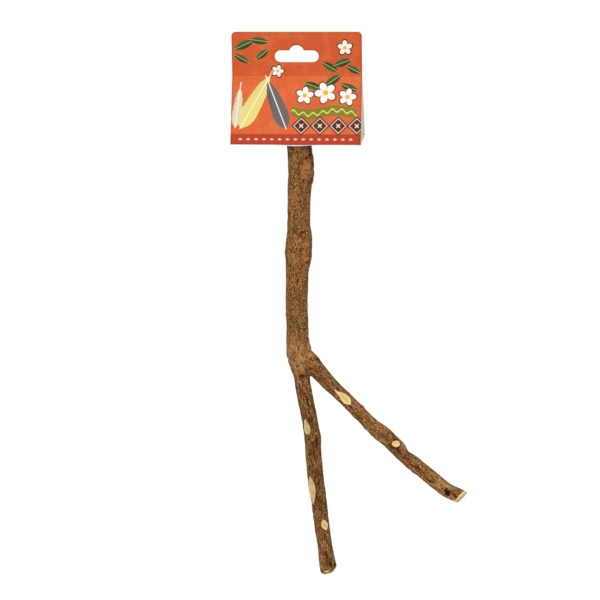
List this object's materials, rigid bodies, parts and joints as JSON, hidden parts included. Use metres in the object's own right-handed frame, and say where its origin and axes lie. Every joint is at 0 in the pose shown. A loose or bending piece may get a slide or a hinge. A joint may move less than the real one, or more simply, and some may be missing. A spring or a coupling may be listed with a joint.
{
  "type": "forked branch bird perch",
  "caption": "Natural forked branch perch that clamps to a cage wall with a bolt, wide washers and a wing nut, shown with its folded header card.",
  "frame": {"origin": "on the stud's axis at the inner washer's upper face, where the cage wall is clamped", "axes": "+Z along the stud towards its free end, +X towards the side limb, +Y away from the viewer; the branch runs down along -Z"},
  "size_m": [0.1706, 0.04, 0.4083],
  "materials": {
    "bark_and_wood": "rough bark with pale pruned cuts",
    "zinc_steel": "bright zinc plate",
    "washer_zinc": "stamped, bright zinc plate",
    "nut_zinc": "cast, satin zinc plate",
    "printed_card": "coated paper card, printed outside, cream inside"
  },
  "bodies": {
    "perch": {"branch": "bark_and_wood", "hanger_bolt": "zinc_steel", "inner_washer": "washer_zinc"},
    "card": {"header_card": "printed_card"},
    "washer": {"outer_washer": "washer_zinc"},
    "nut": {"wing_nut": "nut_zinc"}
  },
  "joints": [
    {"name": "card_swivel", "type": "hinge", "parent": "perch", "child": "card", "pos_m": [0, 0, 0], "axis": [0, 0, 1], "continuous": true},
    {"name": "washer_lift", "type": "slide", "parent": "perch", "child": "washer", "axis": [0, 0, 1], "range_m": [0, 0.003]},
    {"name": "nut_turn", "type": "hinge", "parent": "washer", "child": "nut", "pos_m": [0, 0, 0.002], "axis": [0, 0, 1], "range_deg": [0, 1081]}
  ],
  "couplings": [
    {"joint": "nut_turn", "follows": "washer_lift", "rad_per_m": 6283.2}
  ]
}
